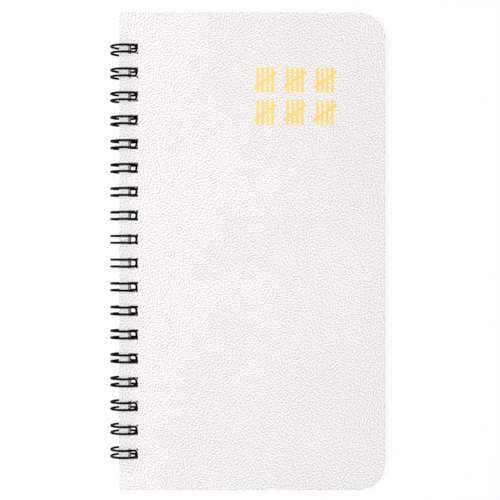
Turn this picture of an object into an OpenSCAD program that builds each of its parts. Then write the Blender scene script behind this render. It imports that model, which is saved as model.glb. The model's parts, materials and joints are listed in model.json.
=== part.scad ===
// Wire-bound tally book, lying closed on its back cover.
// Every sheet turns about the centre line of the binding loops.

/* [Covers] */
// Width of the front cover, spine edge to fore edge
cover_w = 94.5; // [80:0.5:130]
// Height of both covers, head to tail
cover_h = 169.7; // [160:0.1:220]
// Thickness of a cover
cover_t = 0.7; // [0.5:0.05:0.9]
// Radius of the rounded corners at the fore edge
corner_r = 9.5; // [2:0.1:12]

/* [Leaves] */
// Thickness of one leaf
leaf_t = 0.1; // [0.08:0.01:0.12]
// Air between neighbouring leaves
leaf_gap = 0.03; // [0.02:0.01:0.04]
// How far the leaves stay inside the covers at head, tail and fore edge
leaf_inset = 1; // [0.5:0.1:3]

/* [Binding wire] */
// Number of loops along the spine
loop_count = 18; // [12:1:18]
// Distance from one loop to the next, three to the inch
loop_pitch = 8.467; // [8:0.001:9]
// Distance between the two prongs of a loop
prong_gap = 2.45; // [2.2:0.05:2.6]
// Diameter of the wire
wire_d = 0.8; // [0.7:0.05:0.85]
// Radius of a loop at the middle of the wire
ring_r = 4.9; // [4.5:0.05:5.5]
// Radius of the bends where the prongs leave the straight runs
bend_r = 0.9; // [0.8:0.05:1]
// Gap left between the tip of a loop and the bends that it closes on
tip_gap = 0.45; // [0.42:0.01:0.7]
// How much fuller the wire is at each step from prong to bend and from bend to run
bend_swell = 0.01; // [0.01:0.005:0.03]

/* [Binding edge] */
// Strip between the front cover's spine edge and its holes
hole_margin = 3.25; // [3:0.05:3.5]
// Strip between the spine edge of the leaves and back cover and their holes
inner_margin = 1.8; // [1.6:0.05:2.2]
// How far the leaves and back cover stay from the loop centres
spine_clear = 0.1; // [0.05:0.05:0.2]
// Width of a punched hole, across the spine
hole_w = 3.5; // [3.4:0.1:4]
// Height of a punched hole, along the spine
hole_h = 3.7; // [3.4:0.1:4.5]
// Room between the wire and the side of a hole
hole_clear = 0.15; // [0.1:0.05:0.3]
// Room above and below the straight runs that lie under the front cover
run_clear = 0.15; // [0.1:0.05:0.2]
// Room between the bends and the ends of the first leaf's holes
bend_clear = 0.05; // [0.03:0.01:0.1]
// Room between the opened front cover and the back cover's level
pass_clear = 0.15; // [0.1:0.05:0.3]

/* [Hidden] */
$fn = 48;
corner_steps = 16;

leaf_count = 24;
leaf_names = [for (k = [1 : leaf_count]) str("leaf_", k < 10 ? "0" : "", k)];

cover_color = "whitesmoke";
leaf_color = "ivory";
wire_color = "black";

wire_r = wire_d / 2;
bent_r = wire_r + bend_swell;
run_r = bent_r + bend_swell;
ring_in = ring_r - wire_r;
ring_out = ring_r + wire_r;
tip_r = prong_gap / 2;
bend_y = tip_r + bend_r;

// The bends widen upwards, so the first leaf lies below the level where they would meet its holes
bend_in = bend_r - bent_r;
bend_over = max(0, bend_y + bend_clear - hole_h / 2);
bend_rise = sqrt(max(0, bend_in * bend_in - bend_over * bend_over));

// Heights above the loop centres, from the back cover up to the front cover
leaf_step = leaf_t + leaf_gap;
run_over = run_r + run_clear;
run_under = max(run_over, bend_r - bend_rise);
run_room = run_over + run_under;
stack = cover_t + leaf_count * leaf_step + run_room;
front_z = (stack + pass_clear) / 2;
back_z = front_z - stack;
first_leaf_z = front_z - run_room - leaf_t;
run_z = front_z - run_over;

// The straight runs lie in the plane that touches the loops at the prongs' roots
root_angle = asin(run_z / norm([ring_r, bend_r])) - atan2(bend_r, ring_r);
tip_reach = sqrt(pow(tip_r + bend_r + 2 * bent_r + tip_gap, 2) - bend_y * bend_y);
tip_angle = root_angle + 2 * atan(tip_reach / 2 / ring_r);
tip_right = ring_r * cos(tip_angle) + tip_r * sin(tip_angle) + bent_r;
run_len = loop_pitch - 2 * bend_y;

// Distances from the loop centres: the front cover's holes clear the tips, and its spine edge the loops
wire_inside = sqrt(pow(ring_in, 2) - pow(front_z + cover_t, 2));
ring_inset = min(hole_margin + hole_w - tip_right, wire_inside) - hole_clear;
fore_x = cover_w - ring_inset;
leaf_fore_x = fore_x - leaf_inset;
inner_spine_x = max(spine_clear, ring_out + hole_clear - hole_w - inner_margin);

// The front cover leans down from the wire until its fore edge lies on the leaves
lean = atan((run_room - leaf_gap) / leaf_fore_x);

// The closed book lies on its loops and on the fore edge of its back cover
lie = asin(ring_out / norm([fore_x, back_z])) - atan2(-back_z, fore_x);

// Each length of wire runs a little way into the fuller one that it joins
prong_lap = 0.4;
run_lap = 0.03;

// The origin is under the middle of the closed book, on the surface that it lies on
book_right = fore_x * cos(lie + lean) + (front_z + cover_t) * sin(lie + lean);
axis_x = (ring_out - book_right) / 2;
axis_z = ring_out;
echo(hinge_axis_mm = [axis_x, 0, axis_z], lie_deg = lie, lean_deg = lean);

function loop_y(i) = (i - (loop_count - 1) / 2) * loop_pitch;

// Moves a shape from the loops' centre line to its place in the book
module placed() {
    translate([axis_x, 0, axis_z]) rotate([0, lie, 0]) children();
}

// Points of a rounded corner about the centre c, from angle a0 through a quarter turn
function arc_point(a) = corner_r * [cos(a), sin(a)];
function corner(c, a0) = [for (i = [0 : corner_steps]) c + arc_point(a0 + 90 * i / corner_steps)];

// Outline of a sheet: square at the spine, rounded at the fore edge
module sheet_outline(x0, x1, h) {
    cx = x1 - corner_r;
    cy = h / 2 - corner_r;
    polygon(concat([[x0, h / 2], [x0, -h / 2]], corner([cx, -cy], -90), corner([cx, cy], 0)));
}

// A punched sheet at the height z above the loop centres, with its holes a margin m in from the spine
module sheet(x0, x1, h, t, z, m) {
    translate([0, 0, z]) linear_extrude(t) difference() {
        sheet_outline(x0, x1, h);
        for (i = [0 : loop_count - 1])
            translate([x0 + m, loop_y(i) - hole_h / 2]) square([hole_w, hole_h]);
    }
}

// An arc of wire about the Y axis, from angle a0 to a1, raised from +X towards +Z
module prong(a0, a1) {
    rotate([90, 0, 0]) rotate([0, 0, a0])
        rotate_extrude(angle = a1 - a0) translate([ring_r, 0]) circle(wire_r);
}

// Lays a shape drawn in the XY plane on the loops at an angle, with Y kept and X turned downwards
module on_loop(angle) {
    rotate([0, -angle, 0]) translate([ring_r, 0, 0]) rotate([0, 90, 0]) children();
}

// Bend from a prong's root out to the straight run on the side s
module root_bend(s) {
    translate([0, s * bend_y, 0]) rotate([0, 0, s > 0 ? 180 : 90])
        rotate_extrude(angle = 90) translate([bend_r, 0]) circle(bent_r);
}

// Round end that joins the two prongs of a loop
module tip() {
    rotate([0, 0, -90]) rotate_extrude(angle = 180) translate([tip_r, 0]) circle(bent_r);
}

// Straight length of wire along Y from y0, at the level of the runs
module run(y0, length) {
    translate([-bend_r, y0 - run_lap, 0]) rotate([-90, 0, 0]) cylinder(h = length + 2 * run_lap, r = run_r);
}

// One loop: two prongs round the spine, their tip and their root bends
module binding_loop() {
    for (s = [-1, 1]) {
        translate([0, s * tip_r, 0]) prong(tip_angle - prong_lap, root_angle + 360 + prong_lap);
        on_loop(root_angle) root_bend(s);
    }
    on_loop(tip_angle) tip();
}

module binding_wire() {
    color(wire_color) placed() {
        for (i = [0 : loop_count - 1]) translate([0, loop_y(i), 0]) binding_loop();
        on_loop(root_angle) {
            for (i = [0 : loop_count - 2]) run(loop_y(i) + bend_y, run_len);
            run(loop_y(0) - bend_y - run_len / 2, run_len / 2);
            run(loop_y(loop_count - 1) + bend_y, run_len / 2);
        }
    }
}

module front_cover() {
    color(cover_color) placed() rotate([0, lean, 0])
        sheet(-ring_inset, fore_x, cover_h, cover_t, front_z, hole_margin);
}

module back_cover() {
    color(cover_color) placed() sheet(inner_spine_x, fore_x, cover_h, cover_t, back_z, inner_margin);
}

// Leaf number k, counted down from the front cover
module leaf(k) {
    z = first_leaf_z - (k - 1) * leaf_step;
    leaf_h = cover_h - 2 * leaf_inset;
    color(leaf_color) placed() sheet(inner_spine_x, leaf_fore_x, leaf_h, leaf_t, z, inner_margin);
}

front_cover();
back_cover();
binding_wire();
for (k = [1 : leaf_count]) leaf(k);
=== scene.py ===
import functools
import itertools
import json
import math
from types import SimpleNamespace
import bmesh
import bpy
import numpy as np
from mathutils import Matrix, Vector
from mathutils.geometry import delaunay_2d_cdt


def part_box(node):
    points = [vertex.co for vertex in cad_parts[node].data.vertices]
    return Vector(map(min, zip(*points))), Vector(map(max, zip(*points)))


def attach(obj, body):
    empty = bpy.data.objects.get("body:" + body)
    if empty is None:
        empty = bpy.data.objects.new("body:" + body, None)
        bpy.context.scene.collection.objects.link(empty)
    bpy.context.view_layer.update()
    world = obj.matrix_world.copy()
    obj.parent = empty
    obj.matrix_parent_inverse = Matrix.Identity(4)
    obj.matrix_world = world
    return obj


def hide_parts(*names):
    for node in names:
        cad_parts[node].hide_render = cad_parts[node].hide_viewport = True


# A wire-bound tally book: white grained covers, ruled leaves and a black twin-loop wire, seen from above

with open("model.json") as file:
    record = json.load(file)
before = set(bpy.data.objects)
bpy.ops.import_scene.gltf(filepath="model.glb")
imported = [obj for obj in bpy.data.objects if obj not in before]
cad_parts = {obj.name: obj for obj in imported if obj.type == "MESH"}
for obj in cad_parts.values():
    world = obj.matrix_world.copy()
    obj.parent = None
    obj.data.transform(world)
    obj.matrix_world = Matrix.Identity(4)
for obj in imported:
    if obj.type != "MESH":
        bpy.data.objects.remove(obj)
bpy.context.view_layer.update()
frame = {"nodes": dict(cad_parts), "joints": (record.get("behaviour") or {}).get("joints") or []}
MM = 0.001

# The photograph's frame and the front cover's place in it, in pixels
IMAGE_PX = 500.0
COVER_LEFT_PX = 119.0
COVER_RIGHT_PX = 385.0
COVER_TOP_PX = 12.5
COVER_BOTTOM_PX = 490.0

# Camera
CAMERA_DISTANCE = 428 * MM
CAMERA_NEAR = 10 * MM

# Reading the sheets of the CAD: points nearer than this are one, and the holes lie this near the spine edge
SAME_POINT = 0.02 * MM
HOLES_WITHIN = 12 * MM

# Grain of the covers: short ridges that tend to rise to the right by the spine and to fall at the fore edge
GRAIN_WAVE = 0.93 * MM
GRAIN_SPREAD = 0.46 * MM
GRAIN_CELL = 0.55 * MM
GRAIN_REACH = 3
GRAIN_HEIGHT = 0.02 * MM
GRAIN_FLATTENING = 1.25
GRAIN_SPINE_ANGLE = math.radians(42)
GRAIN_FORE_ANGLE = math.radians(-36)
GRAIN_SWINGS = 4
GRAIN_SWING_SIZE = 31 * MM
GRAIN_SWING_ANGLE = math.radians(12)
GRAIN_JITTER = math.radians(65)
FRONT_SEED = 11
BACK_SEED = 47

# Cover sheets: the grid's steps, and its rows near an edge and round a corner
FRONT_STEP = 0.24 * MM
BACK_STEP = 0.34 * MM
STEP_SLACK = 1e-6
LINE_DIGITS = 7
EDGE_ROLL = 0.22 * MM
EDGE_ROWS = (0, 0.12, 0.45, 1)
CORNER_ROWS = 14
SHARP_ANGLE = math.radians(50)

# Settings of the triangulation: keep what the outline encloses, and join points this near each other
INSIDE_OUTLINE = 1
WELD = 1e-9

# Foil tally marks on the front cover: gates of upright strokes and one slash
FOIL_CENTRE_FROM_SPINE = 62.5 * MM
FOIL_CENTRE_FROM_HEAD = 29.8 * MM
FOIL_RISE = 0.03 * MM
FOIL_SINK = 0.05 * MM
FOIL_ROWS = 2
FOIL_GATES = 3
ROW_PITCH = 11.6 * MM
GATE_PITCH = 10.6 * MM
GATE_STROKES = 4
STROKE_PITCH = 1.75 * MM
STROKE_LENGTH = 8.2 * MM
STROKE_WIDTH = 0.94 * MM
STROKE_END_STEPS = 8
SLASH_OVERHANG = 1.1 * MM
SLASH_RISE = 0.32 * STROKE_LENGTH
SLASH_LIFT = 0.25 * FOIL_RISE

# Ruling of the leaves
RULE_PITCH = 7 * MM
RULE_WIDTH = 0.22 * MM
MARGIN_FROM_SPINE = 16 * MM

# A leaf's ruled faces are where the upright part of the normal is more than this, so its edges stay plain
RULED_UPRIGHT = 0.5

# Colours
WHITE = (1.0, 1.0, 1.0)
# Leatherette colours by grain height: painted shade in the dips, painted light on the ridges
LEATHER_DIP_PAINTED_SHADE = (0.64, 0.612, 0.596)
LEATHER_SLOPE = (0.875, 0.855, 0.842)
LEATHER_RIDGE_PAINTED_LIGHT = (0.985, 0.98, 0.975)
LEATHER_CLOUD = (0.965, 0.96, 0.956)
LINING_DARK = (0.82, 0.81, 0.79)
LINING_PALE = (0.88, 0.872, 0.855)
FOIL_DARK = (0.9, 0.575, 0.15)
FOIL_PALE = (0.95, 0.625, 0.185)
PAPER_DARK = (0.87, 0.864, 0.842)
PAPER_PALE = (0.93, 0.925, 0.905)
RULE_BLUE = (0.42, 0.56, 0.72)
MARGIN_RED = (0.72, 0.3, 0.28)
FLOOR_GREY = (0.93, 0.93, 0.93)

# Stage and light
FLOOR_SIDE = 6.0
FLOOR_DROP = 0.05 * MM
FLOOR_ROUGHNESS = 0.9
FLOOR_WHITENESS = 0.9
BACKDROP_LIGHT = 1.0
WORLD_LIGHT = 0.56
KEY_WATTS = 2.25
KEY_SIZE = 0.24
KEY_PLACE = Vector((-0.23, 0.02, 0.6))

# Numbers of the colour sockets in Blender's mix node, which share their names with others
MIX_SHARE = 0
MIX_FIRST = 6
MIX_SECOND = 7
MIX_RESULT = 2

HINGE = next(joint for joint in frame["joints"] if joint["name"] == "front_cover_hinge")
HINGE_POINT = Vector(HINGE["pos_m"])


def new_object(name, data):
    """An object in the scene's own collection."""
    thing = bpy.data.objects.new(name, data)
    bpy.context.scene.collection.objects.link(thing)
    return thing


def around(loop):
    """Each member of a closed loop with the one after it."""
    return zip(loop, loop[1:] + loop[:1])


# Measures of the CAD sheets

def sheet_facts(node):
    """Sizes of a flat punched sheet: u from the hinge line to the fore edge, v along the spine, w up."""
    mesh = frame["nodes"][node].data
    normal = max(mesh.polygons, key=lambda polygon: polygon.area).normal.copy()
    if normal.z < 0:
        normal.negate()
    lean = math.atan2(normal.x, normal.z)
    level = Matrix.Rotation(-lean, 4, "Y") @ Matrix.Translation(-HINGE_POINT)
    points = np.array([level @ vertex.co for vertex in mesh.vertices])
    u0, v0, w0 = points.min(0)
    u1, v1, w1 = points.max(0)
    u, v = points[:, 0], points[:, 1]
    near_spine = (u > u0 + SAME_POINT) & (u < u0 + HOLES_WITHIN)
    hole_points = points[near_spine & (np.abs(v) < v1 - SAME_POINT)]
    hole_v = np.unique(np.round(hole_points[:, 1] / SAME_POINT)) * SAME_POINT
    return SimpleNamespace(
        place=level.inverted(),
        u0=u0,
        u1=u1,
        w0=w0,
        w1=w1,
        half=(v1 - v0) / 2,
        radius=u1 - u[v > v1 - SAME_POINT].max(),
        hole_u=(hole_points[:, 0].min(), hole_points[:, 0].max()),
        hole_v=list(zip(hole_v[0::2], hole_v[1::2])),
    )


def in_hole(facts, u, v):
    """Whether a point, or each of many points, lies in one of a sheet's holes."""
    in_u = (facts.hole_u[0] < u) & (u < facts.hole_u[1])
    in_v = np.any([(low < v) & (v < high) for low, high in facts.hole_v], axis=0)
    return in_u & in_v


# Grain of the covers

def grain(u, v, seed):
    """Ridge height from -1 to 1: many short wave packets, each turned about the local grain direction."""
    rng = np.random.default_rng(seed)
    first_i = math.floor(u.min() / GRAIN_CELL) - GRAIN_REACH
    first_j = math.floor(v.min() / GRAIN_CELL) - GRAIN_REACH
    cell_i = np.floor(u / GRAIN_CELL).astype(int) - first_i
    cell_j = np.floor(v / GRAIN_CELL).astype(int) - first_j
    shape = (cell_i.max() + GRAIN_REACH + 1, cell_j.max() + GRAIN_REACH + 1)
    i, j = np.indices(shape)
    packet_u = (first_i + i + rng.random(shape)) * GRAIN_CELL
    packet_v = (first_j + j + rng.random(shape)) * GRAIN_CELL
    turn = GRAIN_FORE_ANGLE - GRAIN_SPINE_ANGLE
    along = GRAIN_SPINE_ANGLE + turn * (packet_u - u.min()) / np.ptp(u)
    for way, shift in rng.random((GRAIN_SWINGS, 2)) * 2 * np.pi:
        reach = packet_u * np.cos(way) + packet_v * np.sin(way)
        along += GRAIN_SWING_ANGLE * np.sin(2 * np.pi * reach / GRAIN_SWING_SIZE + shift)
    along += GRAIN_JITTER * rng.uniform(-1, 1, shape)
    across_u, across_v, phase = -np.sin(along), np.cos(along), rng.random(shape)
    total = np.zeros_like(u)
    for step_i, step_j in itertools.product(range(-GRAIN_REACH, GRAIN_REACH + 1), repeat=2):
        k = (cell_i + step_i, cell_j + step_j)
        du, dv = u - packet_u[k], v - packet_v[k]
        strength = np.exp(-(du * du + dv * dv) / (2 * GRAIN_SPREAD ** 2))
        turns = (du * across_u[k] + dv * across_v[k]) / GRAIN_WAVE + phase[k]
        total += strength * np.cos(2 * np.pi * turns)
    return np.tanh(GRAIN_FLATTENING * total / total.std())


# Cover sheets

def filled(breaks, step):
    """Grid lines through every break, no further apart than a step."""
    lines = [breaks[0]]
    for a, b in zip(breaks, breaks[1:]):
        count = max(1, math.ceil((b - a) / step - STEP_SLACK))
        lines += [a + (b - a) * (k + 1) / count for k in range(count)]
    return np.array(lines)


def edge_breaks(a, b):
    """Breaks near both ends of a side, for the rolled edge."""
    near = [row * EDGE_ROLL for row in EDGE_ROWS]
    return [a + n for n in near] + [b - n for n in reversed(near)]


def cover_grid(facts, step):
    """Points of a cover's outer face as u, v and distance from the outline, and which cells are holes."""
    half, radius = facts.half, facts.radius
    u_lines = filled(sorted(edge_breaks(facts.u0, facts.u1) + list(facts.hole_u)), step)
    arc = [half - radius + radius * math.sin(k * math.pi / 2 / CORNER_ROWS) for k in range(CORNER_ROWS)]
    v_breaks = edge_breaks(-half, half) + [side * rise for rise in arc for side in (-1, 1)]
    v_breaks += [edge for pair in facts.hole_v for edge in pair]
    v_lines = filled(sorted(set(np.round(v_breaks, LINE_DIGITS))), step)
    u, v = np.meshgrid(u_lines, v_lines, indexing="ij")

    # Near the fore edge the grid is drawn in to follow the rounded corners
    over = np.maximum(0, np.abs(v) - (half - radius))
    fore_edge = facts.u1 - radius + np.sqrt(np.maximum(0, radius ** 2 - over ** 2))
    drawn_from = facts.u1 - 2 * radius
    drawn_in = drawn_from + (u - drawn_from) * (fore_edge - drawn_from) / (facts.u1 - drawn_from)
    u = np.where(u > drawn_from, drawn_in, u)

    # The nearest of the four sides, or of a corner's arc
    gap = np.minimum(np.minimum(u - facts.u0, half - np.abs(v)), facts.u1 - u)
    in_corner = (u > facts.u1 - radius) & (over > 0)
    corner_gap = radius - np.hypot(u - facts.u1 + radius, over)
    gap = np.where(in_corner, np.minimum(gap, corner_gap), gap)
    cell_u = (u_lines[1:] + u_lines[:-1]) / 2
    cell_v = (v_lines[1:] + v_lines[:-1]) / 2
    return u, v, np.maximum(gap, 0), in_hole(facts, cell_u[:, None], cell_v[None, :])


def cover_face(facts, step, seed):
    """A cover's outer face: its points as u, v and height, its quads, and the grain at each point."""
    u, v, gap, hole = cover_grid(facts, step)
    relief = grain(u.ravel(), v.ravel(), seed).reshape(u.shape)
    roll = EDGE_ROLL - np.sqrt(np.maximum(0, EDGE_ROLL ** 2 - np.maximum(0, EDGE_ROLL - gap) ** 2))
    fade = np.clip(gap / (2 * EDGE_ROLL), 0, 1)
    height = facts.w1 - facts.w0 - roll + GRAIN_HEIGHT * relief * fade
    number = np.arange(u.size).reshape(u.shape)
    corners = (number[:-1, :-1], number[1:, :-1], number[1:, 1:], number[:-1, 1:])
    quads = np.stack([corner[~hole] for corner in corners], 1)
    used, renumbered = np.unique(quads, return_inverse=True)
    points = np.stack([u.ravel(), v.ravel(), height.ravel()], 1)[used]
    return points, renumbered.reshape(quads.shape).tolist(), relief.ravel()[used]


def boundary_loops(faces):
    """Ordered outlines of a sheet of quads, each as a list of point numbers."""
    edges = {}
    for face in faces:
        for a, b in around(face):
            if (b, a) in edges:
                del edges[(b, a)]
            else:
                edges[(a, b)] = True
    after = {a: b for a, b in edges}
    loops = []
    while after:
        start = next(iter(after))
        loop = [start]
        point = after.pop(start)
        while point != start:
            loop.append(point)
            point = after.pop(point)
        loops.append(loop)
    return loops


def lining_triangles(facts, outline, edges):
    """Triangles between a cover's outline and its holes, as numbers of outline points."""
    spots, _, triangles, source, _, _ = delaunay_2d_cdt(outline, edges, [], INSIDE_OUTLINE, WELD)
    kept = []
    for triangle in triangles:
        centre = sum((spots[corner] for corner in triangle), Vector((0, 0))) / 3
        if not in_hole(facts, centre.x, centre.y):
            kept.append([source[corner][0] for corner in reversed(triangle)])
    return kept


def cover_back(facts, points, outer):
    """The inner face's points at the rim, and the walls and lining that close a cover with them."""
    loops = boundary_loops(outer)
    rim = [point for loop in loops for point in loop]
    rim_number = {point: k for k, point in enumerate(rim)}
    edges = [(rim_number[a], rim_number[b]) for loop in loops for a, b in around(loop)]
    first = len(points)
    walls = [[rim[b], rim[a], first + a, first + b] for a, b in edges]
    triangles = lining_triangles(facts, [Vector(spot) for spot in points[rim, :2]], edges)
    lining = [[first + corner for corner in triangle] for triangle in triangles]
    return points[rim] * (1, 1, 0), walls, lining


def cover_piece(name, node, body, step, outer_up, seed):
    """A cover with its grain as real relief on the outer face and as painted shade and painted light in its
    colour, rolled edges and a smooth lining inside.
    """
    facts = sheet_facts(node)
    outer_points, outer, grain_for_painted_shade = cover_face(facts, step, seed)
    inner_points, walls, lining = cover_back(facts, outer_points, outer)
    points = np.vstack([outer_points, inner_points])
    grain_for_painted_shade = np.concatenate([grain_for_painted_shade, np.zeros(len(inner_points))])
    faces = outer + walls + lining
    if outer_up:
        points[:, 2] = facts.w0 + points[:, 2]
    else:
        points[:, 2] = facts.w1 - points[:, 2]
        faces = [face[::-1] for face in faces]
    mesh = bpy.data.meshes.new(name)
    mesh.from_pydata([facts.place @ Vector(point) for point in points], [], faces)
    # The grain's height at each point, which the leatherette turns into painted shade in the dips and
    # painted light on the ridges
    mesh.attributes.new("grain", "FLOAT", "POINT").data.foreach_set("value", grain_for_painted_shade.astype(np.float32))
    mesh.polygons.foreach_set("use_smooth", [True] * len(faces))
    mesh.materials.append(leatherette())
    mesh.materials.append(cover_lining())
    mesh.polygons.foreach_set("material_index", [0] * len(outer + walls) + [1] * len(lining))
    mesh.set_sharp_from_angle(angle=SHARP_ANGLE)
    mesh.update()
    piece = new_object(name, mesh)
    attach(piece, body)
    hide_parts(node)
    return facts


# Foil marks

def from_middle(number, count):
    """Place of one of several evenly spaced things, counted from their middle."""
    return number - (count - 1) / 2


def tally_strokes(facts):
    """Each mark's two ends and its lift, so that a slash lies over the strokes that it crosses."""
    centre = Vector((facts.u0 + FOIL_CENTRE_FROM_SPINE, facts.half - FOIL_CENTRE_FROM_HEAD))
    up = Vector((0, STROKE_LENGTH / 2))
    slash = Vector(((GATE_STROKES - 1) / 2 * STROKE_PITCH + SLASH_OVERHANG, SLASH_RISE))
    strokes = []
    for row, gate in itertools.product(range(FOIL_ROWS), range(FOIL_GATES)):
        aside = from_middle(gate, FOIL_GATES) * GATE_PITCH
        middle = centre + Vector((aside, -from_middle(row, FOIL_ROWS) * ROW_PITCH))
        for k in range(GATE_STROKES):
            foot = middle + Vector((from_middle(k, GATE_STROKES) * STROKE_PITCH, 0))
            strokes.append((foot - up, foot + up, 0))
        strokes.append((middle - slash, middle + slash, SLASH_LIFT))
    return strokes


def stroke_outline(a, b):
    """Outline of a straight mark from a to b with round ends."""
    along = (b - a).normalized()
    heading = math.atan2(along.y, along.x)
    outline = []
    for end, first in ((b, heading - math.pi / 2), (a, heading + math.pi / 2)):
        for k in range(STROKE_END_STEPS + 1):
            angle = first + k * math.pi / STROKE_END_STEPS
            outline.append(end + Vector((math.cos(angle), math.sin(angle))) * STROKE_WIDTH / 2)
    return outline


def foil_piece(facts):
    """Thin gold foil on the front cover, in rows of five-bar tally gates."""
    bm = bmesh.new()
    for a, b, lift in tally_strokes(facts):
        outline = stroke_outline(a, b)
        rings = []
        for level in (facts.w1 + FOIL_RISE + lift, facts.w1 - FOIL_SINK):
            rings.append([bm.verts.new(facts.place @ Vector((*spot, level))) for spot in outline])
        upper, lower = rings
        bm.faces.new(upper)
        bm.faces.new(lower[::-1])
        for (low_a, low_b), (high_a, high_b) in zip(around(lower), around(upper)):
            bm.faces.new([low_a, low_b, high_b, high_a])
    mesh = bpy.data.meshes.new("tally_foil")
    bm.to_mesh(mesh)
    bm.free()
    mesh.materials.append(gold_foil())
    piece = new_object("tally_foil", mesh)
    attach(piece, "front")


# Materials

class Nodes:
    """A material or world with short calls for adding and linking nodes."""

    def __init__(self, name, kind=bpy.data.materials):
        self.owner = kind.new(name)
        self.owner.use_nodes = True
        self.tree = self.owner.node_tree
        self.shader = self.tree.nodes.get("Principled BSDF") or self.tree.nodes["Background"]

    def fill(self, node, inputs):
        """Sets each named or numbered input, or links it where the value is another node's output."""
        for socket, value in inputs.items():
            if isinstance(value, bpy.types.NodeSocket):
                self.tree.links.new(value, node.inputs[socket])
            else:
                node.inputs[socket].default_value = (*value, 1) if isinstance(value, tuple) else value

    def add(self, kind, inputs=None):
        node = self.tree.nodes.new(kind)
        self.fill(node, inputs or {})
        return node

    def coords(self, kind="Object"):
        return self.add("ShaderNodeTexCoord").outputs[kind]

    def attribute(self, name):
        node = self.add("ShaderNodeAttribute")
        node.attribute_name = name
        return node.outputs["Fac"]

    def noise(self, scale, detail=3, roughness=0.55):
        inputs = {"Vector": self.coords(), "Scale": scale, "Detail": detail, "Roughness": roughness}
        return self.add("ShaderNodeTexNoise", inputs).outputs["Fac"]

    def ramp(self, value, stops):
        """A colour for each value, from stops that give a colour for a place between 0 and 1."""
        node = self.add("ShaderNodeValToRGB", {"Fac": value})
        elements = node.color_ramp.elements
        while len(elements) < len(stops):
            elements.new(0.5)
        for element, (place, colour) in zip(elements, stops.items()):
            element.position = place
            element.color = (*colour, 1)
        return node.outputs["Color"]

    def math(self, operation, *values):
        node = self.add("ShaderNodeMath", dict(enumerate(values)))
        node.operation = operation
        return node.outputs[0]

    def mix(self, share, first, second, kind="MIX"):
        node = self.add("ShaderNodeMix")
        node.data_type = "RGBA"
        node.blend_type = kind
        self.fill(node, {MIX_SHARE: share, MIX_FIRST: first, MIX_SECOND: second})
        return node.outputs[MIX_RESULT]

    def bump(self, height, strength, distance):
        inputs = {"Height": height, "Strength": strength, "Distance": distance}
        self.fill(self.shader, {"Normal": self.add("ShaderNodeBump", inputs).outputs["Normal"]})

    def seen(self):
        """One for what is seen, straight, mirrored or through something clear, and zero for what lights."""
        path = self.add("ShaderNodeLightPath").outputs
        mirrored = self.math("MAXIMUM", path["Is Glossy Ray"], path["Is Transmission Ray"])
        return self.math("MAXIMUM", path["Is Camera Ray"], mirrored)

    def blend_over(self, share, over, output):
        """Shows another shader over the main one, for a share from 0 to 1."""
        blend = self.add("ShaderNodeMixShader", {"Fac": share, 1: self.shader.outputs[0], 2: over})
        self.fill(self.tree.nodes[output], {"Surface": blend.outputs["Shader"]})


def grey(level):
    return (level, level, level)


@functools.cache
def leatherette():
    """White leatherette with painted shade in the dips of its grain and painted light on its ridges,
    faintly cloudy.
    """
    n = Nodes("leatherette")

    # The grain runs from -1 to 1, and the ramp from 0 to 1
    level = n.math("MULTIPLY_ADD", n.attribute("grain"), 0.5, 0.5)
    # Painted shade in the grain's dips and painted light on its ridges, following the grain's height
    grain_painted_shade = n.ramp(level, {0: LEATHER_DIP_PAINTED_SHADE, 0.5: LEATHER_SLOPE, 1: LEATHER_RIDGE_PAINTED_LIGHT})
    cloud = n.ramp(n.noise(scale=38), {0.3: LEATHER_CLOUD, 0.7: WHITE})
    n.fill(n.shader, {
        "Base Color": n.mix(1.0, grain_painted_shade, cloud, "MULTIPLY"),
        "Roughness": n.ramp(n.noise(scale=900), {0.3: grey(0.5), 0.7: grey(0.64)}),
        "Specular IOR Level": 0.35,
    })
    n.bump(n.noise(scale=3200), strength=0.25, distance=0.02 * MM)
    return n.owner


@functools.cache
def cover_lining():
    """Smooth, faintly fibrous inner face of a cover."""
    n = Nodes("cover_lining")
    fibre = n.noise(scale=1500, detail=5, roughness=0.65)
    n.fill(n.shader, {
        "Base Color": n.ramp(fibre, {0.3: LINING_DARK, 0.7: LINING_PALE}),
        "Roughness": n.ramp(fibre, {0.2: grey(0.75), 0.8: grey(0.88)}),
    })
    n.bump(fibre, strength=0.3, distance=0.015 * MM)
    return n.owner


@functools.cache
def gold_foil():
    """Pale gold stamping foil with a soft, uneven gloss."""
    n = Nodes("gold_foil")
    n.fill(n.shader, {
        "Base Color": n.ramp(n.noise(scale=700, detail=4), {0.25: FOIL_DARK, 0.7: FOIL_PALE}),
        "Metallic": 0.25,
        "Roughness": n.ramp(n.noise(scale=2200), {0.3: grey(0.5), 0.7: grey(0.62)}),
    })
    n.bump(n.noise(scale=1400), strength=0.35, distance=0.02 * MM)
    return n.owner


@functools.cache
def wire_coating():
    """Black satin coating of the binding wire."""
    n = Nodes("wire_coating")
    n.fill(n.shader, {
        "Base Color": n.ramp(n.noise(scale=900, detail=4), {0.3: grey(0.001), 0.75: grey(0.004)}),
        "Roughness": n.ramp(n.noise(scale=2600), {0.3: grey(0.5), 0.7: grey(0.66)}),
        "Specular IOR Level": 0.03,
    })
    n.bump(n.noise(scale=3000), strength=0.2, distance=0.01 * MM)
    return n.owner


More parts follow.
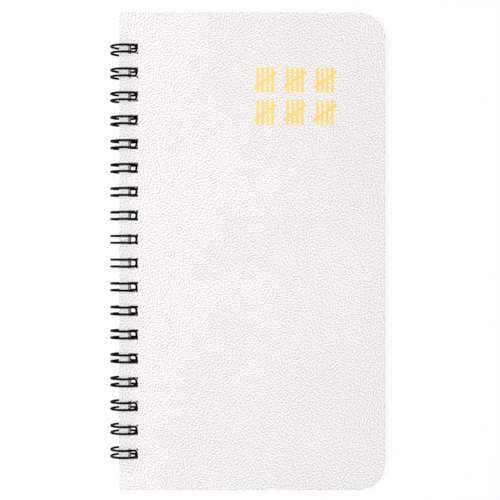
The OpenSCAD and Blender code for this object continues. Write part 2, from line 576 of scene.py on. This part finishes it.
@functools.cache
def ruled_paper():
    """Off-white paper with blue rules and a red margin line on its two faces."""
    n = Nodes("ruled_paper")
    fibre = n.noise(scale=1700, detail=6, roughness=0.7)
    paper = n.ramp(fibre, {0.3: PAPER_DARK, 0.7: PAPER_PALE})
    place = n.add("ShaderNodeSeparateXYZ", {"Vector": n.coords()}).outputs
    facing = n.add("ShaderNodeSeparateXYZ", {"Vector": n.coords("Normal")}).outputs
    on_face = n.math("GREATER_THAN", n.math("ABSOLUTE", facing["Z"]), RULED_UPRIGHT)
    from_rule = n.math("PINGPONG", place["Y"], RULE_PITCH / 2)
    on_rule = n.math("MULTIPLY", n.math("LESS_THAN", from_rule, RULE_WIDTH / 2), on_face)
    margin_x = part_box("leaf_01")[0].x + MARGIN_FROM_SPINE
    from_margin = n.math("ABSOLUTE", n.math("SUBTRACT", place["X"], margin_x))
    on_margin = n.math("MULTIPLY", n.math("LESS_THAN", from_margin, RULE_WIDTH / 2), on_face)
    n.fill(n.shader, {
        "Base Color": n.mix(on_margin, n.mix(on_rule, paper, RULE_BLUE), MARGIN_RED),
        "Roughness": n.ramp(fibre, {0.2: grey(0.8), 0.8: grey(0.93)}),
        "Specular IOR Level": 0.2,
    })
    n.bump(fibre, strength=0.25, distance=0.01 * MM)
    return n.owner


def paint(node, material):
    """Gives a CAD node that stays in view its finished material."""
    mesh = frame["nodes"][node].data
    mesh.materials.clear()
    mesh.materials.append(material)


# Stage, light and camera

def white_floor():
    """A pale floor that looks white to the camera and still takes a soft shadow."""
    n = Nodes("white_floor")
    n.fill(n.shader, {"Base Color": FLOOR_GREY, "Roughness": FLOOR_ROUGHNESS})
    glow = n.add("ShaderNodeEmission", {"Strength": BACKDROP_LIGHT})
    share = n.math("MULTIPLY", n.seen(), FLOOR_WHITENESS)
    n.blend_over(share, glow.outputs["Emission"], "Material Output")
    return n.owner


def build_floor():
    """A wide floor just under the book."""
    mesh = bpy.data.meshes.new("floor")
    s = FLOOR_SIDE / 2
    mesh.from_pydata([(-s, -s, 0), (s, -s, 0), (s, s, 0), (-s, s, 0)], [], [(0, 1, 2, 3)])
    mesh.materials.append(white_floor())
    floor = new_object("floor", mesh)
    floor.location.z = -FLOOR_DROP


def build_world():
    """Even light from all round, and a plain white backdrop for what is looked at."""
    n = Nodes("soft_room", bpy.data.worlds)
    n.fill(n.shader, {"Color": WHITE, "Strength": WORLD_LIGHT})
    backdrop = n.add("ShaderNodeBackground", {"Color": WHITE, "Strength": BACKDROP_LIGHT})
    n.blend_over(n.seen(), backdrop.outputs["Background"], "World Output")
    bpy.context.scene.world = n.owner


def build_key_light():
    """A soft lamp on the spine's side, high up, turned to the book."""
    lamp = bpy.data.lights.new("key", "AREA")
    lamp.energy = KEY_WATTS
    lamp.size = KEY_SIZE
    key = new_object("key", lamp)
    key.location = KEY_PLACE
    key.rotation_euler = (-KEY_PLACE).to_track_quat("-Z", "Y").to_euler()


def build_camera(facts):
    """Looks square-on at the front cover, which fills the photograph's own rectangle."""
    scale = (facts.u1 - facts.u0) / (COVER_RIGHT_PX - COVER_LEFT_PX)
    aside = (IMAGE_PX / 2 - (COVER_LEFT_PX + COVER_RIGHT_PX) / 2) * scale
    up = ((COVER_TOP_PX + COVER_BOTTOM_PX) / 2 - IMAGE_PX / 2) * scale
    middle = Vector(((facts.u0 + facts.u1) / 2 + aside, up, facts.w1))
    eye = middle + Vector((0, 0, CAMERA_DISTANCE))
    data = bpy.data.cameras.new("camera")
    data.sensor_fit = "HORIZONTAL"
    data.angle = 2 * math.atan(IMAGE_PX * scale / 2 / CAMERA_DISTANCE)
    data.clip_start = CAMERA_NEAR
    camera = new_object("camera", data)
    camera.matrix_world = facts.place @ Matrix.Translation(eye)
    bpy.context.scene.camera = camera


# The whole scene

front = cover_piece("front_cover_skin", "front_cover", "front", FRONT_STEP, True, FRONT_SEED)
cover_piece("back_cover_skin", "back_cover", "back", BACK_STEP, False, BACK_SEED)
foil_piece(front)
paint("binding_wire", wire_coating())
for leaf in sorted(name for name in frame["nodes"] if name.startswith("leaf_")):
    paint(leaf, ruled_paper())
build_floor()
build_world()
build_key_light()
build_camera(front)
bpy.context.scene.view_settings.view_transform = "Standard"
